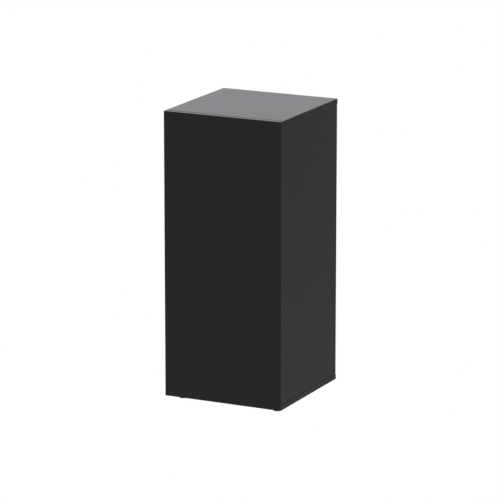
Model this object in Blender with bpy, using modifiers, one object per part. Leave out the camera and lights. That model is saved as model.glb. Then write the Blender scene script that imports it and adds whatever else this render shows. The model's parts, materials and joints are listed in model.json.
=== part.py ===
"""Display plinth: a box of black melamine-faced board on four levelling feet.

The carcass is a top plate, a base plate, two sides and a back, drawn together by cam fittings and located
by dowels.  A full-height front panel covers the carcass's front edges on push-fit ball clips, and pulls
straight off forwards.  Each foot is a swivelling pad on a threaded spindle, shown fully screwed in.

Units are metres, +Z is up, the front faces -Y, and the origin is on the floor, in the middle of the
footprint.
"""

import math

import bmesh
import bpy
from mathutils import Matrix, Vector

# Driving dimensions
WIDTH = 0.440  # front panel
DEPTH = 0.450  # front panel's face to the plates' rear edge
BODY_HEIGHT = 1.000  # underside of the base plate to the top surface
FLOOR_GAP = 0.016  # floor to the underside of the base plate
BOARD = 0.018  # thickness of every board
FIT_GAP = 0.0003  # clearance between pieces that touch
END_GAP = 0.0005  # a blind hole's length beyond the piece in it
FRONT_OVERHANG = 0.001  # front panel beyond each end of the plates
PLATE_OVERHANG = 0.001  # plates beyond the sides and the back
FRONT_REVEAL = 0.0006  # plate faces beyond the front panel's top and bottom edges
ARRIS = 0.0004  # broken edge of a board
SHADOW_HEIGHT = 0.0016  # rebate above the base plate, around the outside
SHADOW_DEPTH = 0.003

# Faces of the assembled box
FRONT_Y = -DEPTH / 2
CARCASS_FRONT_Y = FRONT_Y + BOARD + FIT_GAP
PLATE_REAR_Y = DEPTH / 2
CARCASS_REAR_Y = PLATE_REAR_Y - PLATE_OVERHANG
PLATE_X = WIDTH / 2 - FRONT_OVERHANG
CARCASS_X = PLATE_X - PLATE_OVERHANG
INNER_X = CARCASS_X - BOARD
INNER_REAR_Y = CARCASS_REAR_Y - BOARD
BASE_UNDERSIDE_Z = FLOOR_GAP
BASE_TOP_Z = BASE_UNDERSIDE_Z + BOARD
TOP_Z = BASE_UNDERSIDE_Z + BODY_HEIGHT
TOP_UNDERSIDE_Z = TOP_Z - BOARD
WALL_LOW_Z = BASE_TOP_Z + FIT_GAP
WALL_HIGH_Z = TOP_UNDERSIDE_Z - FIT_GAP
SIDE_MID_X = CARCASS_X - BOARD / 2
BACK_MID_Y = CARCASS_REAR_Y - BOARD / 2
MID_Z = (BASE_TOP_Z + TOP_UNDERSIDE_Z) / 2

# Cam fittings: a bolt in one board is drawn in by a disc in the other
CAM_SETBACK = 0.034  # joint face to the disc's axis
CAM_RADIUS = 0.0072
CAM_THICKNESS = 0.0125
CAM_BORE_DEPTH = 0.0132
CAM_MOUTH_WIDTH = 0.0078  # channel that the bolt's head enters
CAM_MOUTH_DEPTH = 0.0048  # disc's face to the channel
CAM_MOUTH_REACH = 0.0046  # channel beyond the disc's axis
CROSS_LENGTH = 0.0090
CROSS_WIDTH = 0.0014
CROSS_DEPTH = 0.0022
BOLT_RADIUS = 0.0030
BOLT_THREAD_LENGTH = 0.0110
BOLT_HEAD_RADIUS = 0.0034
BOLT_NECK_RADIUS = 0.0020
BOLT_NECK_LENGTH = 0.0050
BOLT_CHAMFER = 0.0010
BOLT_HEAD_REACH = 0.0036  # head beyond the disc's axis
BOLT_HOLE_RADIUS = 0.0040
CAM_Y = (-0.150, 0.150)  # the two fittings along each side's top and bottom edge

# Dowels
DOWEL_RADIUS = 0.0040
DOWEL_LENGTH = 0.0300
DOWEL_CHAMFER = 0.0008
DOWEL_SHALLOW = 0.0105  # length held in the board whose face is drilled
BACK_DOWEL_Z = (MID_Z - 0.240, MID_Z + 0.240)

# Push-fit clips of the front panel
CLIP_RADIUS = 0.0047  # barrels of both halves
CLIP_BALL_RADIUS = 0.0029
CLIP_NECK_RADIUS = 0.0018
CLIP_CAVITY_RADIUS = 0.0032
CLIP_CAVITY_DEPTH = 0.0080
CLIP_MOUTH_CHAMFER = 0.0006
CLIP_BALL_REACH = 0.0050  # panel's inner face to the ball's middle
STUD_LENGTH = 0.0090
SOCKET_LENGTH = 0.0110
CLIP_Z = (MID_Z - 0.400, MID_Z, MID_Z + 0.400)

# Levelling feet
FOOT_INSET = 0.040  # foot's axis from the front panel's ends, and from the carcass's front and rear
PAD_RADIUS = 0.0148
PAD_RIM_HEIGHT = 0.0046
PAD_TOP_RADIUS = 0.0100
PAD_HEIGHT = 0.0088
PAD_POCKET = (0.0030, 0.0062)  # floor and roof of the pocket around the spindle's head
PAD_MOUTH_RADIUS = 0.0044
PAD_CHAMFER = 0.0006
SPINDLE_HEAD_RADIUS = 0.0063
SPINDLE_RADIUS = 0.0040
SPINDLE_TOP_Z = 0.0520
SPINDLE_CHAMFER = 0.0010
HEX_FLATS = 0.0130
HEX_LOW_Z = 0.0092
HEX_HEIGHT = 0.0068  # fully screwed in, the hexagon stops against the insert's flange
INSERT_FLANGE_RADIUS = 0.0090
INSERT_FLANGE = 0.0014
INSERT_RADIUS = 0.0055
INSERT_BORE_RADIUS = SPINDLE_RADIUS + FIT_GAP

# Mesh resolution
COARSE = 12
MEDIUM = 16
FINE = 20
SMOOTH_ANGLE = math.radians(35)  # edges sharper than this stay sharp in the shading
OVERSHOOT = 0.002  # a cutter's length outside the face that it enters

UP = Vector((0, 0, 1))
DOWN = Vector((0, 0, -1))
FORWARD = Vector((0, -1, 0))
BACKWARD = Vector((0, 1, 0))


def clear_scene():
    for obj in list(bpy.data.objects):
        bpy.data.objects.remove(obj, do_unlink=True)


def new_collection(name, parent=None):
    collection = bpy.data.collections.new(name)
    (parent or bpy.context.scene.collection).children.link(collection)
    return collection


def new_material(name, colour, roughness, metallic=0.0):
    material = bpy.data.materials.new(name)
    material.use_nodes = True
    surface = material.node_tree.nodes["Principled BSDF"]
    surface.inputs["Base Color"].default_value = (*colour, 1.0)
    surface.inputs["Roughness"].default_value = roughness
    surface.inputs["Metallic"].default_value = metallic
    return material


def new_empty(name, location):
    empty = bpy.data.objects.new(name, None)
    empty.empty_display_size = 0.05
    empty.location = location
    PARTS.objects.link(empty)
    return empty


def box_mesh(name, low, high):
    """A box between two corners, around its own middle."""
    size = Vector(high) - Vector(low)
    shape = bmesh.new()
    bmesh.ops.create_cube(shape, size=1.0)
    bmesh.ops.scale(shape, vec=size, verts=shape.verts)
    mesh = bpy.data.meshes.new(name)
    shape.to_mesh(mesh)
    shape.free()
    return mesh


def prism_mesh(name, radius, length, segments):
    """A cylinder or prism that stands on its origin along +Z."""
    shape = bmesh.new()
    bmesh.ops.create_cone(
        shape, cap_ends=True, segments=segments, radius1=radius, radius2=radius, depth=length
    )
    bmesh.ops.translate(shape, vec=(0, 0, length / 2), verts=shape.verts)
    mesh = bpy.data.meshes.new(name)
    shape.to_mesh(mesh)
    shape.free()
    return mesh


def place(name, mesh, parent, location, axis=UP, material=None):
    """Put a mesh in the scene with its own +Z along axis, riding on an empty."""
    obj = bpy.data.objects.new(name, mesh)
    obj.parent = parent
    obj.location = Vector(location) - parent.location
    obj.rotation_euler = axis.to_track_quat("Z", "Y").to_euler()
    if material:
        mesh.materials.clear()
        mesh.materials.append(material)
    PARTS.objects.link(obj)
    return obj


def finished_mesh(obj, name, smooth_angle=None):
    """The object's mesh with its modifiers applied; the object itself goes."""
    bpy.context.view_layer.update()
    graph = bpy.context.evaluated_depsgraph_get()
    mesh = bpy.data.meshes.new_from_object(obj.evaluated_get(graph), depsgraph=graph)
    mesh.name = name
    if smooth_angle:
        mesh.shade_smooth()
        mesh.set_sharp_from_angle(angle=smooth_angle)
    bpy.data.objects.remove(obj, do_unlink=True)
    return mesh


def turned_mesh(name, profile, segments, closed=False):
    """A (radius, height) profile turned about Z; it runs from the top down the outer side."""
    points = [(radius, 0.0, height) for radius, height in profile]
    edges = [(i, i + 1) for i in range(len(points) - 1)]
    if closed:
        edges.append((len(points) - 1, 0))
    mesh = bpy.data.meshes.new(name)
    mesh.from_pydata(points, edges, [])
    obj = bpy.data.objects.new(name, mesh)
    PARTS.objects.link(obj)
    turn = obj.modifiers.new("turn", "SCREW")
    turn.axis = "Z"
    turn.angle = math.tau
    turn.steps = segments
    turn.render_steps = segments
    turn.use_merge_vertices = True
    turn.merge_threshold = 0.00001
    return finished_mesh(obj, name, smooth_angle=SMOOTH_ANGLE)


def helper(name, mesh, location, axis, collection):
    """A hidden shape that a Boolean takes away from a piece or adds to it."""
    obj = bpy.data.objects.new(name, mesh)
    obj.location = location
    obj.rotation_euler = axis.to_track_quat("Z", "Y").to_euler()
    obj.hide_render = True
    obj.display_type = "WIRE"
    collection.objects.link(obj)
    return obj


def combine(obj, operation, collection):
    boolean = obj.modifiers.new(operation.lower(), "BOOLEAN")
    boolean.operation = operation
    boolean.operand_type = "COLLECTION"
    boolean.collection = collection
    boolean.solver = "EXACT"


def board(name, low, high, parent):
    """A board between two corners with its arrises broken; returns the empty collection of its cutters."""
    middle = (Vector(low) + Vector(high)) / 2
    obj = place(name, box_mesh(name, low, high), parent, middle, material=LAMINATE)
    arris = obj.modifiers.new("arris", "BEVEL")
    arris.width = ARRIS
    arris.segments = 1
    arris.limit_method = "ANGLE"
    cuts = new_collection(name + "_cuts", CUTTERS)
    combine(obj, "DIFFERENCE", cuts)
    return cuts


def drill(cuts, mouth, direction, radius, depth, segments=MEDIUM):
    """A blind round hole that enters a board at mouth and runs along direction."""
    mesh = prism_mesh("drill", radius, depth + OVERSHOOT, segments)
    helper("drill", mesh, Vector(mouth) - direction * OVERSHOOT, direction, cuts)


def rebate(cuts, low, high):
    """A rectangular cut between two corners."""
    middle = (Vector(low) + Vector(high)) / 2
    helper("rebate", box_mesh("rebate", low, high), middle, UP, cuts)


def arc(centre, radius, start, end, steps):
    """Points along an arc in the profile plane, angles in degrees from +radius towards +height."""
    return [
        (centre[0] + radius * math.cos(angle), centre[1] + radius * math.sin(angle))
        for angle in (
            math.radians(start + (end - start) * step / steps) for step in range(steps + 1)
        )
    ]


def make_boards(carcass, front_group):
    """The six boards without their holes, as a dict of each one's cutter collection."""
    plate_low = (-PLATE_X, CARCASS_FRONT_Y)
    plate_high = (PLATE_X, PLATE_REAR_Y)
    return {
        "top_panel": board(
            "top_panel", (*plate_low, TOP_UNDERSIDE_Z), (*plate_high, TOP_Z), carcass
        ),
        "base_panel": board(
            "base_panel", (*plate_low, BASE_UNDERSIDE_Z), (*plate_high, BASE_TOP_Z), carcass
        ),
        "left_side_panel": board(
            "left_side_panel",
            (-CARCASS_X, CARCASS_FRONT_Y, WALL_LOW_Z),
            (-INNER_X, CARCASS_REAR_Y, WALL_HIGH_Z),
            carcass,
        ),
        "right_side_panel": board(
            "right_side_panel",
            (INNER_X, CARCASS_FRONT_Y, WALL_LOW_Z),
            (CARCASS_X, CARCASS_REAR_Y, WALL_HIGH_Z),
            carcass,
        ),
        "back_panel": board(
            "back_panel",
            (-INNER_X + FIT_GAP, INNER_REAR_Y, WALL_LOW_Z),
            (INNER_X - FIT_GAP, CARCASS_REAR_Y, WALL_HIGH_Z),
            carcass,
        ),
        "front_panel": board(
            "front_panel",
            (-WIDTH / 2, FRONT_Y, BASE_UNDERSIDE_Z + FRONT_REVEAL),
            (WIDTH / 2, FRONT_Y + BOARD, TOP_Z - FRONT_REVEAL),
            front_group,
        ),
    }


def cut_shadow_rebate(cuts):
    """A narrow rebate along the bottom of the sides and the back, which reads as a dark line."""
    low, high = WALL_LOW_Z - OVERSHOOT, WALL_LOW_Z + SHADOW_HEIGHT
    for name, side in (("left_side_panel", -1), ("right_side_panel", 1)):
        xs = sorted((side * (CARCASS_X - SHADOW_DEPTH), side * (CARCASS_X + OVERSHOOT)))
        rebate(
            cuts[name],
            (xs[0], CARCASS_FRONT_Y - OVERSHOOT, low),
            (xs[1], CARCASS_REAR_Y + OVERSHOOT, high),
        )
    rebate(
        cuts["back_panel"],
        (-CARCASS_X, CARCASS_REAR_Y - SHADOW_DEPTH, low),
        (CARCASS_X, CARCASS_REAR_Y + OVERSHOOT, high),
    )


def cam_disc_mesh():
    """A disc with its face at +Z, a cross for the screwdriver and a side channel towards +Y."""
    disc = bpy.data.objects.new(
        "cam_disc", prism_mesh("cam_disc", CAM_RADIUS, CAM_THICKNESS, FINE)
    )
    PARTS.objects.link(disc)
    cuts = new_collection("cam_disc_cuts", CUTTERS)
    rebate(
        cuts,
        (-CAM_MOUTH_WIDTH / 2, -CAM_MOUTH_REACH, -OVERSHOOT),
        (CAM_MOUTH_WIDTH / 2, CAM_RADIUS + OVERSHOOT, CAM_THICKNESS - CAM_MOUTH_DEPTH),
    )
    for length, width in ((CROSS_LENGTH, CROSS_WIDTH), (CROSS_WIDTH, CROSS_LENGTH)):
        rebate(
            cuts,
            (-length / 2, -width / 2, CAM_THICKNESS - CROSS_DEPTH),
            (length / 2, width / 2, CAM_THICKNESS + OVERSHOOT),
        )
    combine(disc, "DIFFERENCE", cuts)
    return finished_mesh(disc, "cam_disc", smooth_angle=SMOOTH_ANGLE)


def cam_bolt_mesh():
    """A bolt that stands on the joint face: thread below the origin, neck and round head above it."""
    head_top = CAM_SETBACK + BOLT_HEAD_REACH
    head_low = CAM_SETBACK - BOLT_HEAD_REACH + BOLT_CHAMFER
    neck_low = head_low - BOLT_NECK_LENGTH
    profile = [
        (0.0, head_top),
        (BOLT_HEAD_RADIUS - BOLT_CHAMFER, head_top),
        (BOLT_HEAD_RADIUS, head_top - BOLT_CHAMFER),
        (BOLT_HEAD_RADIUS, head_low),
        (BOLT_NECK_RADIUS, head_low - BOLT_CHAMFER),
        (BOLT_NECK_RADIUS, neck_low),
        (BOLT_RADIUS, neck_low - BOLT_CHAMFER),
        (BOLT_RADIUS, -BOLT_THREAD_LENGTH + BOLT_CHAMFER),
        (BOLT_RADIUS - BOLT_CHAMFER, -BOLT_THREAD_LENGTH),
        (0.0, -BOLT_THREAD_LENGTH),
    ]
    return turned_mesh("cam_bolt", profile, COARSE)


def add_cam(name, meshes, parent, joint, bolt_way, disc_way, walls):
    """One fitting at a point on the joint face.

    bolt_way runs from the bolt's board into the disc's board, and disc_way from the disc's board's inner
    face into it.  walls are the cutter collections of the bolt's board and of the disc's board.
    """
    joint = Vector(joint)
    bolt_cuts, disc_cuts = walls
    mouth = joint + bolt_way * CAM_SETBACK - disc_way * BOARD / 2
    drill(bolt_cuts, joint, -bolt_way, BOLT_RADIUS + FIT_GAP, BOLT_THREAD_LENGTH + FIT_GAP)
    drill(disc_cuts, joint, bolt_way, BOLT_HOLE_RADIUS, CAM_SETBACK)
    drill(disc_cuts, mouth, disc_way, CAM_RADIUS + FIT_GAP, CAM_BORE_DEPTH, FINE)
    place(name + "_bolt", meshes["bolt"], parent, joint, bolt_way, ZINC_STEEL)
    disc = place(
        name + "_disc",
        meshes["disc"],
        parent,
        mouth + disc_way * (CAM_THICKNESS + FIT_GAP),
        material=ZINC_ALLOY,
    )
    # the disc's face looks out of its bore, and its channel looks back along the bolt
    face, channel = -disc_way, -bolt_way
    across = channel.cross(face)
    turn = [[across[i], channel[i], face[i]] for i in range(3)]
    disc.rotation_euler = Matrix(turn).to_euler()


def add_cams(carcass, cuts):
    meshes = {"disc": cam_disc_mesh(), "bolt": cam_bolt_mesh()}
    for plate, face_z, way in (
        ("top", TOP_UNDERSIDE_Z - FIT_GAP / 2, DOWN),
        ("base", BASE_TOP_Z + FIT_GAP / 2, UP),
    ):
        plate_cuts = cuts[plate + "_panel"]
        for side, sign in (("left", -1), ("right", 1)):
            for end, y in zip(("front", "rear"), CAM_Y):
                add_cam(
                    f"cam_{plate}_{side}_{end}",
                    meshes,
                    carcass,
                    (sign * SIDE_MID_X, y, face_z),
                    way,
                    Vector((sign, 0, 0)),
                    (plate_cuts, cuts[side + "_side_panel"]),
                )
        add_cam(
            f"cam_{plate}_back",
            meshes,
            carcass,
            (0, BACK_MID_Y, face_z),
            way,
            BACKWARD,
            (plate_cuts, cuts["back_panel"]),
        )


def dowel_mesh():
    """A dowel along +Z, with its origin on the joint face."""
    top, low = DOWEL_LENGTH - DOWEL_SHALLOW, -DOWEL_SHALLOW
    profile = [
        (0.0, top),
        (DOWEL_RADIUS - DOWEL_CHAMFER, top),
        (DOWEL_RADIUS, top - DOWEL_CHAMFER),
        (DOWEL_RADIUS, low + DOWEL_CHAMFER),
        (DOWEL_RADIUS - DOWEL_CHAMFER, low),
        (0.0, low),
    ]
    return turned_mesh("dowel", profile, COARSE)


def add_dowel(name, mesh, parent, joint, way, shallow_cuts, deep_cuts):
    """A dowel whose short end sits in one board's face and whose long end runs along way."""
    radius = DOWEL_RADIUS + FIT_GAP
    drill(shallow_cuts, joint, -way, radius, DOWEL_SHALLOW + END_GAP)
    drill(deep_cuts, joint, way, radius, DOWEL_LENGTH - DOWEL_SHALLOW + END_GAP)
    place(name, mesh, parent, joint, way, BEECH)


def add_dowels(carcass, cuts):
    mesh = dowel_mesh()
    for side, sign in (("left", -1), ("right", 1)):
        wall = cuts[side + "_side_panel"]
        for plate, face_z, way in (
            ("top", TOP_UNDERSIDE_Z - FIT_GAP / 2, DOWN),
            ("base", BASE_TOP_Z + FIT_GAP / 2, UP),
        ):
            joint = Vector((sign * SIDE_MID_X, 0, face_z))
            add_dowel(f"dowel_{plate}_{side}", mesh, carcass, joint, way, cuts[plate + "_panel"], wall)
        for level, z in zip(("lower", "upper"), BACK_DOWEL_Z):
            joint = Vector((sign * (INNER_X - FIT_GAP / 2), BACK_MID_Y, z))
            inward = Vector((-sign, 0, 0))
            add_dowel(f"dowel_back_{side}_{level}", mesh, carcass, joint, inward, wall, cuts["back_panel"])


def clip_stud_mesh():
    """A stud along +Z from the panel's inner face: barrel below the origin, ball above it."""
    neck_angle = math.degrees(math.acos(CLIP_NECK_RADIUS / CLIP_BALL_RADIUS))
    ball = arc((0.0, CLIP_BALL_REACH), CLIP_BALL_RADIUS, 90, -neck_angle, 5)
    profile = [
        (0.0, ball[0][1]),
        *ball[1:],
        (CLIP_NECK_RADIUS, 0.0),
        (CLIP_RADIUS, 0.0),
        (CLIP_RADIUS, -STUD_LENGTH),
        (0.0, -STUD_LENGTH),
    ]
    return turned_mesh("clip_stud", profile, COARSE)


def clip_socket_mesh():
    """A socket whose mouth is at the origin, facing +Z."""
    profile = [
        (0.0, -CLIP_CAVITY_DEPTH),
        (CLIP_CAVITY_RADIUS, -CLIP_CAVITY_DEPTH),
        (CLIP_CAVITY_RADIUS, -CLIP_MOUTH_CHAMFER),
        (CLIP_CAVITY_RADIUS + CLIP_MOUTH_CHAMFER, 0.0),
        (CLIP_RADIUS, 0.0),
        (CLIP_RADIUS, -SOCKET_LENGTH),
        (0.0, -SOCKET_LENGTH),
    ]
    return turned_mesh("clip_socket", profile, COARSE)


def add_clips(carcass, front_group, cuts):
    stud, socket = clip_stud_mesh(), clip_socket_mesh()
    radius = CLIP_RADIUS + FIT_GAP
    for side, sign in (("left", -1), ("right", 1)):
        for level, z in zip(("lower", "middle", "upper"), CLIP_Z):
            x = sign * SIDE_MID_X
            panel_face = Vector((x, FRONT_Y + BOARD, z))
            wall_face = Vector((x, CARCASS_FRONT_Y, z))
            drill(cuts["front_panel"], panel_face, FORWARD, radius, STUD_LENGTH + END_GAP)
            drill(cuts[side + "_side_panel"], wall_face, BACKWARD, radius, SOCKET_LENGTH + END_GAP)
            place(f"clip_stud_{side}_{level}", stud, front_group, panel_face, BACKWARD, NYLON)
            place(f"clip_socket_{side}_{level}", socket, carcass, wall_face, FORWARD, NYLON)


def pad_mesh():
    """A low round pad on the floor, with a pocket that holds the spindle's head."""
    floor, roof = PAD_POCKET
    pocket_radius = SPINDLE_HEAD_RADIUS + FIT_GAP
    profile = [
        (0.0, floor),
        (pocket_radius, floor),
        (pocket_radius, roof),
        (PAD_MOUTH_RADIUS, roof),
        (PAD_MOUTH_RADIUS, PAD_HEIGHT),
        (PAD_TOP_RADIUS, PAD_HEIGHT),
        (PAD_RADIUS, PAD_RIM_HEIGHT),
        (PAD_RADIUS, PAD_CHAMFER),
        (PAD_RADIUS - PAD_CHAMFER, 0.0),
        (0.0, 0.0),
    ]
    return turned_mesh("foot_pad", profile, FINE)


def spindle_mesh():
    """A threaded rod with a hexagon and, in the pad, a flat round head."""
    floor, roof = PAD_POCKET
    profile = [
        (0.0, SPINDLE_TOP_Z),
        (SPINDLE_RADIUS - SPINDLE_CHAMFER, SPINDLE_TOP_Z),
        (SPINDLE_RADIUS, SPINDLE_TOP_Z - SPINDLE_CHAMFER),
        (SPINDLE_RADIUS, roof - FIT_GAP),
        (SPINDLE_HEAD_RADIUS, roof - FIT_GAP),
        (SPINDLE_HEAD_RADIUS, floor + FIT_GAP),
        (0.0, floor + FIT_GAP),
    ]
    rod = bpy.data.objects.new("spindle", turned_mesh("spindle", profile, MEDIUM))
    PARTS.objects.link(rod)
    additions = new_collection("spindle_hexagon", CUTTERS)
    hexagon = prism_mesh("hexagon", HEX_FLATS / 2 / math.cos(math.pi / 6), HEX_HEIGHT, 6)
    helper("hexagon", hexagon, (0, 0, HEX_LOW_Z), UP, additions)
    combine(rod, "UNION", additions)
    return finished_mesh(rod, "spindle", smooth_angle=SMOOTH_ANGLE)


def insert_mesh():
    """A flanged threaded sleeve, with its flange's underside at the origin."""
    length = BOARD - 2 * FIT_GAP
    profile = [
        (INSERT_BORE_RADIUS, length),
        (INSERT_RADIUS, length),
        (INSERT_RADIUS, INSERT_FLANGE),
        (INSERT_FLANGE_RADIUS, INSERT_FLANGE),
        (INSERT_FLANGE_RADIUS, 0.0),
        (INSERT_BORE_RADIUS, 0.0),
    ]
    return turned_mesh("foot_insert", profile, MEDIUM, closed=True)


def add_feet(carcass, base_cuts):
    pad, spindle, insert = pad_mesh(), spindle_mesh(), insert_mesh()
    foot_x = WIDTH / 2 - FOOT_INSET
    rows = (("front", CARCASS_FRONT_Y + FOOT_INSET), ("rear", CARCASS_REAR_Y - FOOT_INSET))
    for row, y in rows:
        for side, sign in (("left", -1), ("right", 1)):
            name = f"foot_{row}_{side}"
            axis_point = Vector((sign * foot_x, y, 0))
            entry = axis_point + UP * BASE_UNDERSIDE_Z
            drill(base_cuts, entry, UP, INSERT_RADIUS + FIT_GAP, BOARD + OVERSHOOT)
            drill(base_cuts, entry, UP, INSERT_FLANGE_RADIUS + FIT_GAP, INSERT_FLANGE + 2 * FIT_GAP, FINE)
            place(name + "_insert", insert, carcass, entry + UP * FIT_GAP, material=ZINC_STEEL)
            foot = new_empty(name, axis_point)
            place(name + "_pad", pad, foot, axis_point, material=FOOT_PLASTIC)
            place(name + "_spindle", spindle, foot, axis_point, material=ZINC_STEEL)


def main():
    carcass = new_empty("carcass", (0, 0, 0))
    front_group = new_empty("front_panel_slide", (0, FRONT_Y + BOARD / 2, MID_Z))
    cuts = make_boards(carcass, front_group)
    cut_shadow_rebate(cuts)
    add_cams(carcass, cuts)
    add_dowels(carcass, cuts)
    add_clips(carcass, front_group, cuts)
    add_feet(carcass, cuts["base_panel"])


clear_scene()
PARTS = new_collection("display_plinth")
CUTTERS = new_collection("cutters")
CUTTERS.hide_render = True
LAMINATE = new_material("black_laminate", (0.018, 0.018, 0.019), 0.38)
ZINC_ALLOY = new_material("zinc_alloy", (0.60, 0.60, 0.58), 0.42, 0.9)
ZINC_STEEL = new_material("zinc_plated_steel", (0.66, 0.67, 0.68), 0.32, 1.0)
BEECH = new_material("beech", (0.62, 0.45, 0.28), 0.6)
NYLON = new_material("nylon", (0.72, 0.71, 0.67), 0.45)
FOOT_PLASTIC = new_material("foot_plastic", (0.02, 0.02, 0.02), 0.55)
main()
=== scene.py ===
"""Looks of the display plinth: black melamine-faced boards with edge bands, cam fittings, dowels,
ball clips and levelling feet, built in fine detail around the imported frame.

Every piece stands for one CAD node and takes its place and size from that node's box.  Units are
metres, +Z is up and the front faces -Y.
"""

import json
import math

import bmesh
import bpy
from mathutils import Matrix, Vector


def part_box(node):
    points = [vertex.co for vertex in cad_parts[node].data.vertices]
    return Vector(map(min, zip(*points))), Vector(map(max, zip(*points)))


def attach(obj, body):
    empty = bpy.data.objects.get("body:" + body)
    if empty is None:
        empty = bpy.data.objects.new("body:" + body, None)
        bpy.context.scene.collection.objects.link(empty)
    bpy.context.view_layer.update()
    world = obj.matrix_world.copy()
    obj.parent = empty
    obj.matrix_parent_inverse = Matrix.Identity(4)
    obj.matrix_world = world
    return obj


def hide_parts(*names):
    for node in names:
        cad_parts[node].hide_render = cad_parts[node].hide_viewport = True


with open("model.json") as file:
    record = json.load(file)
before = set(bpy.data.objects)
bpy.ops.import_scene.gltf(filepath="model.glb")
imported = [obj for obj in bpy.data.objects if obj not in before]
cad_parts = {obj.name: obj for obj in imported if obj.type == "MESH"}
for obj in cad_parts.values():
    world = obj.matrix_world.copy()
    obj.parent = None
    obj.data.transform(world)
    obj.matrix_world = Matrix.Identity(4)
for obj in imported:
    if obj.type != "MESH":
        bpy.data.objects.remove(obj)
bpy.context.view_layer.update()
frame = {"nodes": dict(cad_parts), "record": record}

# Camera: to the front-right of the plinth and a little above it
CAMERA_AZIMUTH = 26.11  # degrees to the right of straight on
CAMERA_ELEVATION = 13.69
CAMERA_DISTANCE = 11.752  # from the middle of the body
CAMERA_LENS = 246.0  # mm, on a sensor 36 mm wide
CAMERA_AIM = (-0.0053, -0.0096)  # right of and above the middle of the body
CAMERA_REACH = (0.1, 200.0)

# Studio: what the pieces see round them; the camera itself sees plain white
SKY_LIGHT = (0.968, 0.984, 1.020)
FLOOR_LIGHT_NEAR = 0.290
FLOOR_LIGHT_FAR = 0.222
FLOOR_FADE = 4.0  # distance over which the floor's light falls off
FLOOR_HALF = 60.0

# Colours in linear light: the two ends of each finish's mottling, and what lies over it
MELAMINE = ((0.0100, 0.0097, 0.0094), (0.0117, 0.0114, 0.0110))
MELAMINE_RUBBED = (0.060, 0.059, 0.058)
EDGE_BAND = ((0.0106, 0.0103, 0.0100), (0.0126, 0.0122, 0.0118))
EDGE_BAND_RUBBED = (0.058, 0.058, 0.057)
CHIPS = ((0.30, 0.19, 0.10), (0.60, 0.44, 0.27))
CHIP_FIBRE = (0.22, 0.13, 0.07)
CAST_ZINC = ((0.44, 0.44, 0.43), (0.60, 0.60, 0.58))
CAST_ZINC_PIT = (0.26, 0.26, 0.25)
PLATED_ZINC = ((0.58, 0.59, 0.61), (0.70, 0.70, 0.68))
BEECH = ((0.50, 0.32, 0.18), (0.70, 0.52, 0.34))
BEECH_FLECK = (0.32, 0.17, 0.08)
NYLON = ((0.66, 0.65, 0.60), (0.76, 0.75, 0.71))
FOOT_PLASTIC = ((0.013, 0.013, 0.013), (0.021, 0.021, 0.021))
FOOT_DUST = (0.10, 0.095, 0.09)
ARRIS_WEAR = 0.0001  # from a board's edge, where rubbing is at its full
PATTERN_SHIFT = (0.37, 0.73, 0.19)  # of one board's pattern from the next board's

# Boards
BAND = 0.0008  # edge band's thickness
ARRIS = 0.0005  # radius of a board's edges
ARRIS_STEPS = 4
JOINT_LINE = 0.00012  # width of the line between facing and edge band
JOINT_LINE_DEPTH = 0.00008
SHADOW_HEIGHT = 0.0016  # rebate above the base plate, round the outside
SHADOW_DEPTH = 0.003
BORE_GAP = 0.0003  # a bore's radius beyond the fitting in it
BORE_END = 0.0004  # a bore's length beyond the fitting in it
OVERSHOOT = 0.002  # a cutter's length outside the face that it enters

# Cam discs
CAM_MOUTH = (0.0078, 0.0046, 0.0048)  # channel: width, reach past the axis, depth below the face
CAM_CROSS = (0.0090, 0.0014, 0.0024)  # screwdriver recess: length, width, depth
CAM_DISH = (0.0060, 0.0003, 0.0004)  # sunk face inside the rim: radius, depth, width of its slope
CAM_ARROW = (0.0054, 0.0009, 0.0003)  # arrow: distance from the axis, radius, depth
CAM_CAP = 0.0010  # radius of the disc that closes its profile on the axis

# Cam bolts
BOLT_THREAD = (0.0022, 0.0006, 0.0110)  # pitch, depth, length
BOLT_SHANK = 0.0030
BOLT_NECK = (0.0020, 0.0050)  # radius, length
BOLT_HEAD = 0.0062  # length of the head with its cones
BOLT_CONE = 0.001  # length of each cone: shank to neck, neck to head, and the head's end

# Dowels
DOWEL_FLUTES = 16
DOWEL_FLUTE_DEPTH = 0.00018
DOWEL_CHAMFER = 0.0008

# Ball clips
STUD_BARREL = 0.0090
STUD_NECK = 0.0018
STUD_BALL = 0.0029
STUD_SLOT = (0.0007, 0.0046)  # width, depth from the tip
STUD_TIP = math.radians(86)  # where the ball ends in a small flat
STUD_STEPS = 14  # rings over the ball
STUD_RIBS = 3
STUD_COLLAR = 0.0010  # plain length beyond the ribs
SOCKET_CAVITY = (0.0032, 0.0080)  # radius, depth
SOCKET_MOUTH = 0.0006
SOCKET_SLOT = (0.0006, 0.0050)  # width, depth from the mouth
SOCKET_RIBS = 4
SOCKET_COLLAR = 0.0008
SOCKET_CAP = 0.0005
CLIP_RIB = 0.00012  # depth of the rings round both barrels
CLIP_RIB_SHARES = (0.20, 0.55, 0.65, 0.95)  # of a ring's pitch: ends of its crest and its groove
CLIP_CHAMFER = 0.0003

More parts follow.
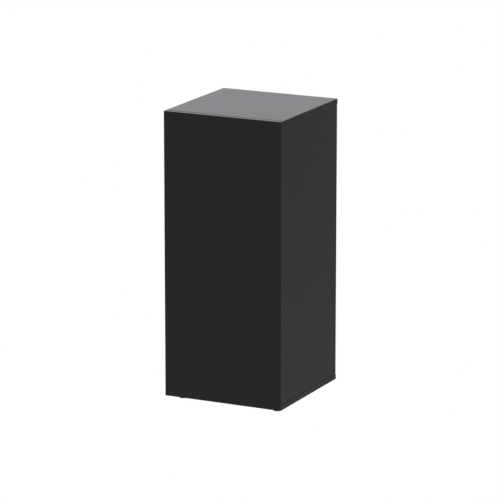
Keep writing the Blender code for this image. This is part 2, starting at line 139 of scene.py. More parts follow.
# Levelling feet
PAD_RIM = 0.0046
PAD_SHOULDER = 0.0100
PAD_MOUTH = 0.0044
PAD_POCKET = (0.0066, 0.0030, 0.0062)  # radius, floor, roof
PAD_FOOTPRINT = (0.0126, 0.0007)  # inner radius of the ring on the floor, hollow inside it
PAD_FILLETS = (0.0016, 0.0014, 0.0006)  # shoulder, rim, foot
PAD_CAP = 0.0008
PAD_GRIPS = 30
PAD_GRIP_DEPTH = 0.00035
PAD_GRIP_START = 0.003  # out from the shoulder
PAD_GRIP_FADE = 3  # how steeply the grips deepen from the rim's upper and lower ends
SPINDLE_RADIUS = 0.0040
SPINDLE_THREAD = (0.00125, 0.00065)  # pitch, depth
SPINDLE_HEAD = (0.0063, 0.0026)  # radius, height
SPINDLE_HEAD_CHAMFER = 0.0003
SPINDLE_CHAMFER = 0.0010
SPINDLE_UNDERCUT = 0.0004  # plain root between hexagon and thread
SPINDLE_SLOT = (0.0012, 0.0018)  # screwdriver slot in the top: width, depth
HEX_FLATS = 0.0130
HEX_SPAN = (0.0059, 0.0127)  # above the spindle's lower end
HEX_CHAMFER = 0.0003  # its end faces' radius inside the flats
HEX_SLOPE = math.radians(30)  # of the cones that cut back its corners
INSERT_FLANGE = 0.0014
INSERT_SLEEVE = 0.0055
INSERT_BORE = 0.0043

# Fillets on the profiles of turned pieces
SHARP = 0.0
CRISP = 0.0001
FINE = 0.0002
SMALL = 0.0003
EASED = 0.0004
SOFT = 0.0005

# Mesh detail
ROUND = 64  # points round a turned piece
SPINDLE_ROUND = 96  # points round a spindle, a multiple of the hexagon's corners
WAVE_POINTS = 8  # points round each flute of a dowel and each grip of a pad
THREAD_ROWS = 8  # rings per turn of a thread
THREAD_FLANK = (1.6, 0.3)  # steepness of a thread's flanks, height that its root cuts off them
FILLET_STEPS = 4
SMOOTH_ANGLE = math.radians(32)

BODIES = frame["record"]["behaviour"]["bodies"]
BODY_OF = {node: body for body, nodes in BODIES.items() for node in nodes}
BOARDS = [node for node in frame["nodes"] if node.endswith("_panel")]
FITTINGS = [
    node for node in frame["nodes"] if not node.endswith("_panel") and not node.startswith("foot_")
]


# Meshes


def mesh_from(name, shape):
    mesh = bpy.data.meshes.new(name)
    shape.to_mesh(mesh)
    shape.free()
    return mesh


def skinned(name, rings, closed=False):
    """A solid through rings of points; its ends are capped, or meet if it is closed."""
    shape = bmesh.new()
    loops = [[shape.verts.new(point) for point in ring] for ring in rings]
    pairs = list(zip(loops, loops[1:]))
    if closed:
        pairs.append((loops[-1], loops[0]))
    for lower, upper in pairs:
        for i in range(len(lower)):
            j = (i + 1) % len(lower)
            shape.faces.new((lower[i], lower[j], upper[j], upper[i]))
    if not closed:
        shape.faces.new(reversed(loops[0]))
        shape.faces.new(loops[-1])
    bmesh.ops.recalc_face_normals(shape, faces=shape.faces)
    return mesh_from(name, shape)


def circle(radius, height, count=ROUND):
    """A ring of points; radius and height are numbers, or functions of the share of a turn."""
    points = []
    for i in range(count):
        share = i / count
        r, z = (value(share) if callable(value) else value for value in (radius, height))
        points.append((r * math.cos(math.tau * share), r * math.sin(math.tau * share), z))
    return points


def filleted(corners, closed=False):
    """(radius, height) points of a profile whose corners are (radius, height, fillet)."""
    points = []
    for i, (radius, height, fillet) in enumerate(corners):
        corner = Vector((radius, height))
        if not fillet or (not closed and i in (0, len(corners) - 1)):
            points.append(corner)
            continue
        before = (Vector(corners[i - 1][:2]) - corner).normalized()
        after = (Vector(corners[(i + 1) % len(corners)][:2]) - corner).normalized()
        half = before.angle(after) / 2
        centre = corner + (before + after).normalized() * fillet / math.sin(half)
        start = corner + before * fillet / math.tan(half) - centre
        end = corner + after * fillet / math.tan(half) - centre
        for step in range(FILLET_STEPS + 1):
            points.append(centre + start.lerp(end, step / FILLET_STEPS).normalized() * fillet)
    return points


def turned(name, corners, closed=False, count=ROUND):
    rings = [circle(radius, height, count) for radius, height in filleted(corners, closed)]
    return skinned(name, rings, closed)


def thread_rings(radius, depth, pitch, low, high, chamfer, count=ROUND):
    """Rings of a right-hand thread from low to high, chamfered at the high end if that is free."""
    rows = round((high - low) / pitch * THREAD_ROWS)
    steepness, cut_off = THREAD_FLANK
    rings = []
    for row in range(rows + 1):
        height = low + (high - low) * row / rows

        def groove(share, height=height):
            phase = (height / pitch - share) % 1.0
            ridge = min(1.0, max(0.0, steepness * (1 - abs(2 * phase - 1)) - cut_off))
            return min(radius - depth * (1 - ridge), radius - max(0.0, chamfer - (high - height)))

        rings.append(circle(groove, height, count))
    return rings


def hexagon_rings(flats, low, high, chamfer, slope, count):
    """Rings of a hexagon with two flats facing X, its corners cut back by a cone at both ends."""
    face = flats / 2 - chamfer

    def reach(share):
        return flats / 2 / math.cos((math.tau * share + math.pi / 6) % (math.pi / 3) - math.pi / 6)

    def drop(share):
        return (reach(share) - face) * math.tan(slope)

    return [
        circle(face, low, count),
        circle(reach, lambda share: low + drop(share), count),
        circle(reach, lambda share: high - drop(share), count),
        circle(face, high, count),
    ]


def box_mesh(name, low, high):
    shape = bmesh.new()
    bmesh.ops.create_cube(shape, size=1.0)
    bmesh.ops.scale(shape, vec=Vector(high) - Vector(low), verts=shape.verts)
    bmesh.ops.translate(shape, vec=(Vector(low) + Vector(high)) / 2, verts=shape.verts)
    return mesh_from(name, shape)


def prism_mesh(name, radius, low, high, sides):
    shape = bmesh.new()
    bmesh.ops.create_cone(
        shape, cap_ends=True, segments=sides, radius1=radius, radius2=radius, depth=high - low
    )
    bmesh.ops.translate(shape, vec=(0, 0, (low + high) / 2), verts=shape.verts)
    return mesh_from(name, shape)


def triangulated(mesh):
    """The mesh in triangles, so that a cut meets each of its faces in one straight line."""
    shape = bmesh.new()
    shape.from_mesh(mesh)
    bmesh.ops.triangulate(shape, faces=shape.faces[:], quad_method="FIXED")
    shape.to_mesh(mesh)
    shape.free()
    return mesh


def new_object(name, mesh, matrix=None):
    obj = bpy.data.objects.new(name, mesh)
    if matrix:
        obj.matrix_world = matrix
    bpy.context.scene.collection.objects.link(obj)
    return obj


def carved(name, mesh, tools, matrix=None):
    """The mesh less its (mesh, matrix) tools.

    The matrices place the mesh and the tools in the world; the result is in the mesh's own frame.
    """
    base = new_object(name, mesh, matrix)
    group = bpy.data.collections.new(name + "_tools")
    bpy.context.scene.collection.children.link(group)
    helpers = []
    for tool, where in tools:
        helper = bpy.data.objects.new(name + "_tool", tool)
        helper.matrix_world = where
        group.objects.link(helper)
        helpers.append(helper)
    boolean = base.modifiers.new("carve", "BOOLEAN")
    boolean.operation = "DIFFERENCE"
    boolean.operand_type = "COLLECTION"
    boolean.collection = group
    boolean.solver = "EXACT"
    boolean.material_mode = "TRANSFER"
    bpy.context.view_layer.update()
    graph = bpy.context.evaluated_depsgraph_get()
    result = bpy.data.meshes.new_from_object(base.evaluated_get(graph), depsgraph=graph)
    result.name = name
    for obj in (base, *helpers):
        bpy.data.objects.remove(obj)
    bpy.data.collections.remove(group)
    return result


def cut(name, mesh, *tools):
    """The mesh less the tools, all in one frame."""
    here = Matrix.Identity(4)
    return carved(name, mesh, [(tool, here) for tool in tools])


# Materials


class Finish:
    """A node-based material with short calls for the nodes that the finishes share."""

    def __init__(self, name, roughness, metallic=0.0):
        self.material = bpy.data.materials.new(name)
        self.material.use_nodes = True
        self.tree = self.material.node_tree
        self.surface = self.tree.nodes["Principled BSDF"]
        self.surface.inputs["Roughness"].default_value = roughness
        self.surface.inputs["Metallic"].default_value = metallic
        self.where = self.add("ShaderNodeTexCoord").outputs["Object"]

    def add(self, kind, inputs=(), **settings):
        node = self.tree.nodes.new(kind)
        for key, value in settings.items():
            setattr(node, key, value)
        for key, value in dict(inputs).items():
            self.set(node.inputs[key], value)
        return node

    def set(self, socket, value):
        if isinstance(value, bpy.types.NodeSocket):
            self.tree.links.new(value, socket)
        else:
            socket.default_value = value

    def math(self, operation, *values):
        return self.add("ShaderNodeMath", dict(enumerate(values)), operation=operation).outputs[0]

    def noise(self, scale, detail=3.0, stretch=None, shift=None):
        """Noise between 0 and 1 with features about 1 / scale metres across."""
        where = self.where
        if stretch or shift:
            mapping = {0: where, "Scale": stretch or (1, 1, 1), "Location": shift or (0, 0, 0)}
            where = self.add("ShaderNodeMapping", mapping).outputs[0]
        inputs = {"Vector": where, "Scale": scale, "Detail": detail}
        return self.add("ShaderNodeTexNoise", inputs).outputs[0]

    def fade(self, value, low, high, to_low=0.0, to_high=1.0):
        inputs = {0: value, 1: low, 2: high, 3: to_low, 4: to_high}
        return self.add("ShaderNodeMapRange", inputs, interpolation_type="SMOOTHSTEP").outputs[0]

    def added(self, value, amount, base):
        """The base plus an amount of the value."""
        return self.math("MULTIPLY_ADD", value, amount, base)

    def blend(self, factor, first, second):
        first, second = ((*c, 1.0) if isinstance(c, tuple) else c for c in (first, second))
        inputs = {0: factor, 6: first, 7: second}
        return self.add("ShaderNodeMix", inputs, data_type="RGBA").outputs[2]

    def bump(self, height, distance, below=None):
        inputs = {"Height": height, "Distance": distance, "Strength": 1.0}
        if below:
            inputs["Normal"] = below
        return self.add("ShaderNodeBump", inputs).outputs[0]

    def finish(self, colour, roughness=None, normal=None):
        self.set(self.surface.inputs["Base Color"], colour)
        if roughness:
            self.set(self.surface.inputs["Roughness"], roughness)
        if normal:
            self.set(self.surface.inputs["Normal"], normal)
        return self.material


def edge_distance(finish, half):
    """How far a point on a board's surface is from the nearest edge."""
    axes = finish.add("ShaderNodeSeparateXYZ", {0: finish.where}).outputs
    x, y, z = (
        finish.math("SUBTRACT", half[i], finish.math("ABSOLUTE", axes[i])) for i in range(3)
    )
    outer = finish.math("MAXIMUM", x, y)
    return finish.math("MAXIMUM", finish.math("MINIMUM", x, y), finish.math("MINIMUM", outer, z))


def rubbed_arris(finish, half, reach, scale, clean):
    """How much a board is rubbed: patches within reach of its edges, where noise is above clean."""
    near_edge = finish.fade(edge_distance(finish, half), reach, ARRIS_WEAR)
    patches = finish.fade(finish.noise(scale=scale, detail=6.0), clean, 0.72)
    return finish.math("MULTIPLY", near_edge, patches)


def melamine(name, half, shift):
    """Black melamine facing: a fine pearl grain, faint clouding and slightly rubbed arrises."""
    finish = Finish(name, roughness=0.30)
    cloud = finish.noise(scale=7.0, detail=3.0, shift=shift)
    grain = finish.noise(scale=1300.0, detail=3.0, shift=shift)
    handling = finish.fade(finish.noise(scale=26.0, detail=5.0, shift=shift), 0.56, 0.74)
    colour = finish.blend(cloud, *MELAMINE)
    rubbed = rubbed_arris(finish, half, reach=0.0009, scale=70.0, clean=0.48)
    colour = finish.blend(finish.math("MULTIPLY", rubbed, 0.35), colour, MELAMINE_RUBBED)
    roughness = finish.added(cloud, amount=0.05, base=0.275)
    roughness = finish.added(handling, amount=0.03, base=roughness)
    roughness = finish.added(rubbed, amount=0.15, base=roughness)
    return finish.finish(colour, roughness, finish.bump(grain, distance=0.00005))


def edge_band(name, half, shift):
    """Black plastic edge band: smoother than the facing, with faint drawn lines."""
    finish = Finish(name, roughness=0.30)
    long_axis = max(range(3), key=lambda i: half[i])
    stretch = tuple(0.02 if i == long_axis else 1.0 for i in range(3))
    lines = finish.noise(scale=1500.0, detail=3.0, stretch=stretch, shift=shift)
    cloud = finish.noise(scale=9.0, detail=3.0, shift=shift)
    colour = finish.blend(cloud, *EDGE_BAND)
    rubbed = rubbed_arris(finish, half, reach=0.0007, scale=60.0, clean=0.46)
    colour = finish.blend(finish.math("MULTIPLY", rubbed, 0.30), colour, EDGE_BAND_RUBBED)
    roughness = finish.added(lines, amount=0.06, base=0.27)
    roughness = finish.added(rubbed, amount=0.12, base=roughness)
    return finish.finish(colour, roughness, finish.bump(lines, distance=0.00001))


def chipboard():
    """Pressed wood chips, seen inside the bores."""
    finish = Finish("chipboard", roughness=0.85)
    chips = finish.add(
        "ShaderNodeTexVoronoi", {"Vector": finish.where, "Scale": 750.0}, feature="F1"
    )
    tone = finish.add("ShaderNodeSeparateColor", {0: chips.outputs["Color"]}).outputs[0]
    fibre = finish.noise(scale=2600.0, detail=4.0)
    colour = finish.blend(tone, *CHIPS)
    colour = finish.blend(finish.fade(fibre, 0.35, 0.75), colour, CHIP_FIBRE)
    return finish.finish(colour, normal=finish.bump(chips.outputs["Distance"], distance=0.0003))


def zinc_alloy():
    """Die-cast zinc: dull, with a flow pattern and small pits."""
    finish = Finish("zinc_alloy", roughness=0.42, metallic=1.0)
    flow = finish.noise(scale=260.0, detail=5.0, stretch=(1.0, 0.4, 1.0))
    pits = finish.noise(scale=1900.0, detail=3.0)
    colour = finish.blend(flow, *CAST_ZINC)
    colour = finish.blend(finish.fade(pits, 0.62, 0.80), colour, CAST_ZINC_PIT)
    roughness = finish.fade(flow, 0.2, 0.8, 0.36, 0.52)
    return finish.finish(colour, roughness, finish.bump(pits, distance=0.00005))


def zinc_plate():
    """Bright zinc plating on turned steel: faint tool marks round the axis, a mottled tint."""
    finish = Finish("zinc_plated_steel", roughness=0.28, metallic=1.0)
    marks = finish.noise(scale=2400.0, detail=2.0, stretch=(0.05, 0.05, 1.0))
    mottle = finish.noise(scale=320.0, detail=4.0)
    colour = finish.blend(mottle, *PLATED_ZINC)
    roughness = finish.fade(mottle, 0.25, 0.75, 0.22, 0.36)
    return finish.finish(colour, roughness, finish.bump(marks, distance=0.00002))


def beech():
    """Beech with its grain along the dowel and short darker flecks."""
    finish = Finish("beech", roughness=0.62)
    grain = finish.noise(scale=1500.0, detail=4.0, stretch=(1.0, 1.0, 0.04))
    streaks = finish.noise(scale=1100.0, detail=2.0, stretch=(1.0, 1.0, 0.22))
    flecks = finish.fade(streaks, 0.60, 0.72)
    colour = finish.blend(grain, *BEECH)
    colour = finish.blend(finish.math("MULTIPLY", flecks, 0.6), colour, BEECH_FLECK)
    return finish.finish(colour, normal=finish.bump(grain, distance=0.00006))


def nylon():
    """Natural nylon, moulded: milky, with a fine skin."""
    finish = Finish("nylon", roughness=0.42)
    finish.surface.inputs["Subsurface Weight"].default_value = 0.15
    finish.surface.inputs["Subsurface Scale"].default_value = 0.002
    cloud = finish.noise(scale=420.0, detail=3.0)
    skin = finish.noise(scale=2300.0, detail=2.0)
    colour = finish.blend(cloud, *NYLON)
    roughness = finish.fade(cloud, 0.3, 0.7, 0.36, 0.50)
    return finish.finish(colour, roughness, finish.bump(skin, distance=0.00003))


def foot_plastic():
    """Black moulded plastic with a spark-eroded texture and a little floor dust on it."""
    finish = Finish("foot_plastic", roughness=0.55)
    texture = finish.noise(scale=2600.0, detail=3.0)
    dust = finish.fade(finish.noise(scale=380.0, detail=6.0), 0.52, 0.80)
    colour = finish.blend(texture, *FOOT_PLASTIC)
    colour = finish.blend(finish.math("MULTIPLY", dust, 0.30), colour, FOOT_DUST)
    roughness = finish.fade(texture, 0.3, 0.7, 0.46, 0.62)
    return finish.finish(colour, roughness, finish.bump(texture, distance=0.00006))


# Boards


def round_node(node):
    """Axis, middle, radius and length of a CAD node that is turned about one of the axes."""
    low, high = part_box(node)
    size = high - low
    axis = min(range(3), key=lambda i: abs(size[(i + 1) % 3] - size[(i + 2) % 3]))
    return axis, (low + high) / 2, size[(axis + 1) % 3] / 2, size[axis]


def along(axis):
    """A turn that takes +Z to +X, +Y or +Z."""
    return Vector([float(i == axis) for i in range(3)]).to_track_quat("Z", "Y").to_matrix().to_4x4()


def overlap(first, second):
    low_a, high_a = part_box(first)
    low_b, high_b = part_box(second)
    return all(min(high_a[i], high_b[i]) - max(low_a[i], low_b[i]) > BORE_GAP for i in range(3))


def bores(board, core):
    """The tools that bore a board for its own body's fittings and for the inserts of the feet."""
    tools = []
    for node in FITTINGS:
        if BODY_OF[node] == BODY_OF[board] and overlap(node, board):
            axis, middle, radius, length = round_node(node)
            reach = length / 2 + BORE_END
            tool = prism_mesh("bore", radius + BORE_GAP, -reach, reach, ROUND)
            tools.append((tool, Matrix.Translation(middle) @ along(axis)))
    for node in frame["nodes"]:
        if node.endswith("_insert") and overlap(node, board):
            _, middle, radius, length = round_node(node)
            low = -length / 2 - OVERSHOOT
            through = prism_mesh("bore", INSERT_SLEEVE + BORE_GAP, low, -low, ROUND)
            seat = -length / 2 + INSERT_FLANGE + BORE_GAP
            flange = prism_mesh("bore", radius + BORE_GAP, low, seat, ROUND)
            tools += [(tool, Matrix.Translation(middle)) for tool in (through, flange)]
    for tool, _ in tools:
        tool.materials.append(core)
    return tools


def shadow_rebate(board, band):
    """The tool that cuts the dark line above the base plate into a side or the back."""
    low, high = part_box(board)
    middle = (low + high) / 2
    outer = 0 if abs(middle.x) > abs(middle.y) else 1
    sign = math.copysign(1.0, middle[outer])
    start, end = low.copy(), high.copy()
    face = high[outer] if sign > 0 else low[outer]
    span = sorted((face - sign * SHADOW_DEPTH, face + sign * OVERSHOOT))
    start[outer], end[outer] = span
    along_wall = 1 - outer
    start[along_wall] -= OVERSHOOT
    end[along_wall] += OVERSHOOT
    start.z, end.z = low.z - OVERSHOOT, low.z + SHADOW_HEIGHT
    tool = box_mesh("rebate", start, end)
    tool.materials.append(band)
    return tool, Matrix.Identity(4)


def board_mesh(name, size):
    """A board with rounded arrises and a fine line between each facing and its edge bands."""
    thin = min(range(3), key=lambda i: size[i])
    shape = bmesh.new()
    bmesh.ops.create_cube(shape, size=1.0)
    bmesh.ops.scale(shape, vec=size, verts=shape.verts)
    bmesh.ops.bevel(
        shape,
        geom=shape.edges[:],
        offset=ARRIS,
        segments=ARRIS_STEPS,
        profile=0.5,
        affect="EDGES",
    )
    shape.normal_update()
    facings = [face for face in shape.faces if abs(face.normal[thin]) > 0.9999]
    steps = (
        (BAND - ARRIS, 0.0),
        (JOINT_LINE / 2, -JOINT_LINE_DEPTH),
        (JOINT_LINE / 2, JOINT_LINE_DEPTH),
    )
    for thickness, depth in steps:
        bmesh.ops.inset_region(
            shape, faces=facings, thickness=thickness, depth=depth, use_even_offset=True
        )
    for face in shape.faces:
        face.material_index = 1
    for face in facings:
        face.material_index = 0
    return mesh_from(name, shape)


def make_boards():
    core = chipboard()
    for index, node in enumerate(sorted(BOARDS)):
        low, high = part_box(node)
        size = high - low
        shift = tuple(index * step for step in PATTERN_SHIFT)
        facing = melamine(f"melamine_{node}", size / 2, shift)
        band = edge_band(f"edge_band_{node}", size / 2, shift)
        name = node + "_board"
        mesh = board_mesh(name, size)
        mesh.materials.append(facing)
        mesh.materials.append(band)
        place = Matrix.Translation((low + high) / 2)
        tools = bores(node, core)
        if "side" in node or "back" in node:
            tools.append(shadow_rebate(node, band))
        mesh = carved(name, mesh, tools, place)
        piece = stand_in(node, name, mesh, place)
        normals = piece.modifiers.new("flat facings", "WEIGHTED_NORMAL")
        normals.keep_sharp = True


# Fittings


def cam_disc(node):
    """A cast disc with a cross recess and an arrow in its sunk face, and a channel for the bolt."""
    _, _, radius, length = round_node(node)
    width, reach, depth = CAM_MOUTH
    cross_length, cross_width, cross_depth = CAM_CROSS
    dish, dish_depth, dish_slope = CAM_DISH
    arrow_at, arrow_radius, arrow_depth = CAM_ARROW
    face = length - dish_depth
    corners = [
        (CAM_CAP, face, SHARP),
        (dish - dish_slope, face, CRISP),
        (dish, length, CRISP),
        (radius, length, EASED),
        (radius, 0.0, SMALL),
        (CAM_CAP, 0.0, SHARP),
    ]
    body = turned("cam_disc", corners)
    channel = box_mesh(
        "channel", (-width / 2, -reach, -OVERSHOOT), (width / 2, radius + OVERSHOOT, length - depth)
    )
    floor = face - cross_depth
    top = length + OVERSHOOT
    bars = [
        box_mesh("cross", (-x / 2, -y / 2, floor), (x / 2, y / 2, top))
        for x, y in ((cross_length, cross_width), (cross_width, cross_length))
    ]
    arrow = prism_mesh("arrow", arrow_radius, face - arrow_depth, top, 3)
    arrow.transform(Matrix.Translation((0, arrow_at, 0)) @ Matrix.Rotation(math.pi / 2, 4, "Z"))
    return cut("cam_disc", body, channel, *bars, arrow)


def cam_bolt(node):
    """A bolt with a coarse wood thread at its lower end, a plain shank, a neck and a coned head."""
    _, _, head_radius, length = round_node(node)
    pitch, depth, thread = BOLT_THREAD
    neck, neck_length = BOLT_NECK
    head_low = length - BOLT_HEAD
    neck_low = head_low - neck_length
    rings = thread_rings(BOLT_SHANK, depth, pitch, 0.0, thread, chamfer=0.0)
    profile = filleted(
        [
            (BOLT_SHANK, thread + depth, SHARP),
            (BOLT_SHANK, neck_low - BOLT_CONE, EASED),
            (neck, neck_low, EASED),
            (neck, head_low, SMALL),
            (head_radius, head_low + BOLT_CONE, EASED),
            (head_radius, length - BOLT_CONE, SOFT),
            (head_radius - BOLT_CONE, length, SHARP),
        ]
    )
    rings += [circle(radius, height) for radius, height in profile]
    return skinned("cam_bolt", rings)


def dowel(node):
    """A fluted dowel with chamfered ends."""
    _, _, radius, length = round_node(node)

    def fluted(largest):
        return lambda share: largest - DOWEL_FLUTE_DEPTH * (
            0.5 - 0.5 * math.cos(math.tau * DOWEL_FLUTES * share)
        )

    small = radius - DOWEL_CHAMFER
    heights = (0.0, DOWEL_CHAMFER, length - DOWEL_CHAMFER, length)
    rings = [
        circle(fluted(r), height, DOWEL_FLUTES * WAVE_POINTS)
        for r, height in zip((small, radius, radius, small), heights)
    ]
    return skinned("dowel", rings)


def ribbed(radius, low, high, count):
    """Profile corners up a barrel with shallow rings round it."""
    radii = (radius, radius, radius - CLIP_RIB, radius - CLIP_RIB)
    pitch = (high - low) / count
    return [
        (r, low + pitch * (i + share), SHARP)
        for i in range(count)
        for r, share in zip(radii, CLIP_RIB_SHARES)
    ]


def clip_stud(node):
    """A ribbed barrel in the panel, and a split ball on a neck outside it."""
    _, _, radius, length = round_node(node)
    centre = length - STUD_BALL
    neck_angle = math.acos(STUD_NECK / STUD_BALL)
    ball = []
    for step in range(STUD_STEPS + 1):
        angle = -neck_angle + (neck_angle + STUD_TIP) * step / STUD_STEPS
        ball.append((STUD_BALL * math.cos(angle), centre + STUD_BALL * math.sin(angle), SHARP))
    corners = [
        (radius - CLIP_CHAMFER, 0.0, SHARP),
        *ribbed(radius, CLIP_CHAMFER, STUD_BARREL - STUD_COLLAR, STUD_RIBS),
        (radius, STUD_BARREL, FINE),
        (STUD_NECK, STUD_BARREL, SMALL),
        *ball,
    ]
    width, depth = STUD_SLOT
    slot = box_mesh(
        "slot",
        (-width / 2, -STUD_BALL - OVERSHOOT, length - depth),
        (width / 2, STUD_BALL + OVERSHOOT, length + OVERSHOOT),
    )
    return cut("clip_stud", turned("clip_stud", corners), slot)


def clip_socket(node):
    """A ribbed barrel with a chamfered mouth, split into four fingers that grip the ball."""
    _, _, radius, length = round_node(node)
    cavity, cavity_depth = SOCKET_CAVITY
    corners = [
        (radius - CLIP_CHAMFER, 0.0, SHARP),
        *ribbed(radius, CLIP_CHAMFER, length - SOCKET_COLLAR, SOCKET_RIBS),
        (radius, length, FINE),
        (cavity + SOCKET_MOUTH, length, CRISP),
        (cavity, length - SOCKET_MOUTH, SHARP),
        (cavity, length - cavity_depth, EASED),
        (SOCKET_CAP, length - cavity_depth, SHARP),
    ]
    width, depth = SOCKET_SLOT
    reach = radius + OVERSHOOT
    slots = [
        box_mesh("slot", (-x, -y, length - depth), (x, y, length + OVERSHOOT))
        for x, y in ((width / 2, reach), (reach, width / 2))
    ]
    return cut("clip_socket", turned("clip_socket", corners), *slots)


def foot_pad(node):
    """A low moulded pad: grips round its rim, a domed shoulder, a pocket and a hollow underside."""
    _, _, radius, height = round_node(node)
    pocket, floor, roof = PAD_POCKET
    footprint, hollow = PAD_FOOTPRINT
    shoulder_fillet, rim_fillet, foot_fillet = PAD_FILLETS
    corners = [
        (PAD_CAP, floor, SHARP),
        (pocket, floor, FINE),
        (pocket, roof, FINE),
        (PAD_MOUTH, roof, CRISP),
        (PAD_MOUTH, height, SOFT),
        (PAD_SHOULDER, height, shoulder_fillet),
        (radius, PAD_RIM, rim_fillet),
        (radius, 0.0, foot_fillet),
        (footprint, 0.0, FINE),
        (footprint - hollow, hollow, FINE),
        (PAD_CAP, hollow, SHARP),
    ]
    mesh = turned("foot_pad", corners, count=PAD_GRIPS * WAVE_POINTS)
    for vertex in mesh.vertices:
        out = Vector(vertex.co[:2])
        height_share = max(0.0, 1 - abs(vertex.co.z - PAD_RIM / 2) / (PAD_RIM / 2))
        if out.length > PAD_SHOULDER + PAD_GRIP_START and height_share > 0:
            wave = 0.5 - 0.5 * math.cos(PAD_GRIPS * math.atan2(out.y, out.x))
            sink = PAD_GRIP_DEPTH * wave * min(1.0, PAD_GRIP_FADE * height_share)
            vertex.co.xy = out * (1 - sink / out.length)
    return mesh


def spindle(node):
    """A threaded rod, slotted at its top, with a hexagon and a flat head that turns in the pad."""
    low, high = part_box(node)
    length = high.z - low.z
    pitch, depth = SPINDLE_THREAD
    head, head_height = SPINDLE_HEAD
    hex_low, hex_high = HEX_SPAN
    root = SPINDLE_RADIUS - depth
    lower = filleted(
        [
            (head - SPINDLE_HEAD_CHAMFER, 0.0, SHARP),
            (head, SPINDLE_HEAD_CHAMFER, SHARP),
            (head, head_height, FINE),
            (root, head_height, FINE),
            (root, hex_low, SHARP),
        ]
    )
    rings = [circle(radius, height, SPINDLE_ROUND) for radius, height in lower]
    rings += hexagon_rings(HEX_FLATS, hex_low, hex_high, HEX_CHAMFER, HEX_SLOPE, SPINDLE_ROUND)
    rings.append(circle(root, hex_high, SPINDLE_ROUND))
    start = hex_high + SPINDLE_UNDERCUT
    rings += thread_rings(
        SPINDLE_RADIUS, depth, pitch, start, length, SPINDLE_CHAMFER, SPINDLE_ROUND
    )
    rod = triangulated(skinned("spindle", rings))
    width, slot_depth = SPINDLE_SLOT
    reach = SPINDLE_RADIUS + OVERSHOOT
    slot = box_mesh(
        "slot", (-width / 2, -reach, length - slot_depth), (width / 2, reach, length + OVERSHOOT)
    )
    return cut("spindle", rod, slot)


def insert(node):
    """A flanged sleeve, pressed into the base plate from below."""
    _, _, radius, length = round_node(node)
    corners = [
        (INSERT_BORE, length, FINE),
        (INSERT_SLEEVE, length, SMALL),
        (INSERT_SLEEVE, INSERT_FLANGE, CRISP),
        (radius, INSERT_FLANGE, FINE),
        (radius, 0.0, SOFT),
        (INSERT_BORE, 0.0, EASED),
    ]
    return turned("foot_insert", corners, closed=True)


# Assembly


def stand_in(node, name, mesh, place):
    """Put a piece in the place of a CAD node, on that node's body."""
    mesh.shade_smooth()
    mesh.set_sharp_from_angle(angle=SMOOTH_ANGLE)
    piece = new_object(name, mesh, place)
    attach(piece, BODY_OF[node])
    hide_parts(node)
    return piece


def pose_of(node, direction, across=None):
    """Where a fitting goes: its own +Z along direction, its lower end at the node's rear end."""
    low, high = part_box(node)
    direction = Vector(direction)
    size = high - low
    start = (low + high) / 2 - direction * abs(size.dot(direction)) / 2
    if across is None:
        turn = direction.to_track_quat("Z", "Y").to_matrix()
    else:
        side = Vector(across).cross(direction)
        turn = Matrix((side, Vector(across), direction)).transposed()
    return Matrix.Translation(start) @ turn.to_4x4()


def place_all(nodes, build, material, way):
    """Stand one shared mesh in for each of the nodes.

    way(node) gives the fitting's direction and, if that matters, where its +Y goes.
    """
    mesh = build(nodes[0])
    mesh.materials.clear()
    mesh.materials.append(material)
    for node in nodes:
        stand_in(node, node + "_fine", mesh, pose_of(node, *way(node)))


def inward(node):
    """From a wall into the plinth."""
    if "left" in node:
        return (1, 0, 0)
    return (-1, 0, 0) if "right" in node else (0, -1, 0)


def to_plate(node):
    return (0, 0, 1) if "_top_" in node else (0, 0, -1)


def from_plate(node):
    return (0, 0, -1) if "_top_" in node else (0, 0, 1)


def dowel_way(node):
    axis = round_node(node)[0]
    return tuple(float(i == axis) for i in range(3))


def make_fittings():
    nodes = sorted(frame["nodes"])
    plated, plastic, milky = zinc_plate(), foot_plastic(), nylon()
    rows = (
        ("_disc", cam_disc, "zinc_alloy", zinc_alloy(), lambda n: (inward(n), to_plate(n))),
        ("_bolt", cam_bolt, "zinc_plated_steel", plated, lambda n: (from_plate(n),)),
        ("dowel_", dowel, "beech", beech(), lambda n: (dowel_way(n),)),
        ("clip_stud_", clip_stud, "nylon", milky, lambda n: ((0, 1, 0),)),
        ("clip_socket_", clip_socket, "nylon", milky, lambda n: ((0, -1, 0),)),
        ("_pad", foot_pad, "foot_plastic", plastic, lambda n: ((0, 0, 1),)),
        ("_spindle", spindle, "zinc_plated_steel", plated, lambda n: ((0, 0, 1),)),
        ("_insert", insert, "zinc_plated_steel", plated, lambda n: ((0, 0, 1),)),
    )
    for part, build, slot, material, way in rows:
        place_all([n for n in nodes if part in n], build, material, way)


# Studio


def make_world():
    """Soft light from all round; the camera sees plain white behind the plinth."""
    world = bpy.data.worlds.new("studio")
    world.use_nodes = True
    bpy.context.scene.world = world
    tree = world.node_tree
    tree.nodes.clear()
    sky = tree.nodes.new("ShaderNodeBackground")
    sky.inputs["Color"].default_value = (*SKY_LIGHT, 1.0)
    white = tree.nodes.new("ShaderNodeBackground")
    white.inputs["Color"].default_value = (1, 1, 1, 1)
    rays = tree.nodes.new("ShaderNodeLightPath")
    mix = tree.nodes.new("ShaderNodeMixShader")
    output = tree.nodes.new("ShaderNodeOutputWorld")
    tree.links.new(rays.outputs["Is Camera Ray"], mix.inputs[0])
    tree.links.new(sky.outputs[0], mix.inputs[1])
    tree.links.new(white.outputs[0], mix.inputs[2])
    tree.links.new(mix.outputs[0], output.inputs["Surface"])


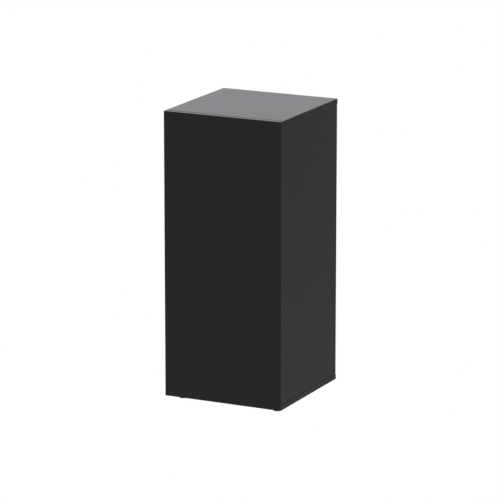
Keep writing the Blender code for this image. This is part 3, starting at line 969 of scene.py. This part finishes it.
def make_floor():
    """A pale floor, seen from above only, that lights the plinth from below, most near its foot."""
    shape = bmesh.new()
    bmesh.ops.create_grid(shape, x_segments=1, y_segments=1, size=FLOOR_HALF)
    floor = new_object("studio_floor", mesh_from("studio_floor", shape))
    material = bpy.data.materials.new("studio_floor")
    material.use_nodes = True
    tree = material.node_tree
    tree.nodes.clear()

    def add(kind, **settings):
        node = tree.nodes.new(kind)
        for key, value in settings.items():
            setattr(node, key, value)
        return node

    geometry = add("ShaderNodeNewGeometry")
    distance = add("ShaderNodeVectorMath", operation="LENGTH")
    tree.links.new(geometry.outputs["Position"], distance.inputs[0])
    fade = add("ShaderNodeMapRange")
    for socket, value in zip(
        fade.inputs[1:5], (0.0, FLOOR_FADE, FLOOR_LIGHT_NEAR, FLOOR_LIGHT_FAR)
    ):
        socket.default_value = value
    tree.links.new(distance.outputs["Value"], fade.inputs[0])
    glow = add("ShaderNodeEmission")
    tree.links.new(fade.outputs[0], glow.inputs["Strength"])
    white = add("ShaderNodeEmission")
    clear = add("ShaderNodeBsdfTransparent")
    rays = add("ShaderNodeLightPath")
    seen = add("ShaderNodeMixShader")
    tree.links.new(rays.outputs["Is Camera Ray"], seen.inputs[0])
    tree.links.new(glow.outputs[0], seen.inputs[1])
    tree.links.new(white.outputs[0], seen.inputs[2])
    one_sided = add("ShaderNodeMixShader")
    tree.links.new(geometry.outputs["Backfacing"], one_sided.inputs[0])
    tree.links.new(seen.outputs[0], one_sided.inputs[1])
    tree.links.new(clear.outputs[0], one_sided.inputs[2])
    output = add("ShaderNodeOutputMaterial")
    tree.links.new(one_sided.outputs[0], output.inputs["Surface"])
    floor.data.materials.append(material)


def make_camera():
    base_low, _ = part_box("base_panel")
    _, top_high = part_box("top_panel")
    middle = Vector((0, 0, (base_low.z + top_high.z) / 2))
    azimuth, elevation = math.radians(CAMERA_AZIMUTH), math.radians(CAMERA_ELEVATION)
    back = Vector(
        (
            math.sin(azimuth) * math.cos(elevation),
            -math.cos(azimuth) * math.cos(elevation),
            math.sin(elevation),
        )
    )
    turn = (-back).to_track_quat("-Z", "Y")
    right, up = turn @ Vector((1, 0, 0)), turn @ Vector((0, 1, 0))
    camera = bpy.data.objects.new("camera", bpy.data.cameras.new("camera"))
    camera.location = middle + back * CAMERA_DISTANCE + right * CAMERA_AIM[0] + up * CAMERA_AIM[1]
    camera.rotation_mode = "QUATERNION"
    camera.rotation_quaternion = turn
    camera.data.lens = CAMERA_LENS
    camera.data.sensor_width = 36.0
    camera.data.clip_start, camera.data.clip_end = CAMERA_REACH
    bpy.context.scene.collection.objects.link(camera)
    bpy.context.scene.camera = camera


make_boards()
make_fittings()
make_world()
make_floor()
make_camera()
bpy.context.scene.view_settings.view_transform = "Standard"
